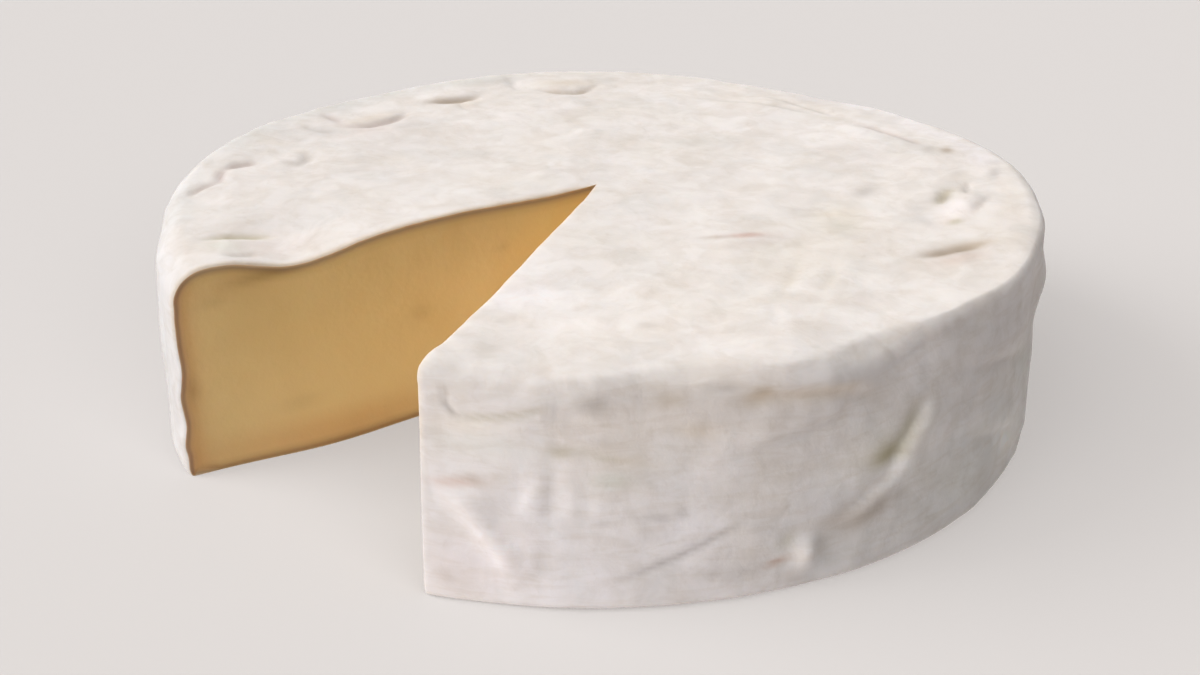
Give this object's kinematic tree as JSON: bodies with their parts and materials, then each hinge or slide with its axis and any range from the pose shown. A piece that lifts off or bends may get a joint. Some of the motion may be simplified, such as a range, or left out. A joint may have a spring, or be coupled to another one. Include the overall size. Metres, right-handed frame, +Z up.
{
  "type": "brie cheese wheel with a wedge cut out",
  "caption": "Small round wheel of soft cheese in a white mould rind, with one narrow wedge cut out to the middle and the yellow paste showing on the cut faces.",
  "frame": {"origin": "middle of the wheel's bounding box in plan, at the underside that it stands on", "axes": "+Z up; the cut-out wedge opens towards -X and -Y, so a viewer who looks along +Y sees the left cut face and the front of the rind"},
  "size_m": [0.1316, 0.1318, 0.0316],
  "materials": {
    "rind": "soft matt white mould rind, slightly creased, over a smooth yellow paste that shows on the cut faces"
  },
  "bodies": {
    "root": {"brie_wheel": "rind"}
  },
  "joints": []
}
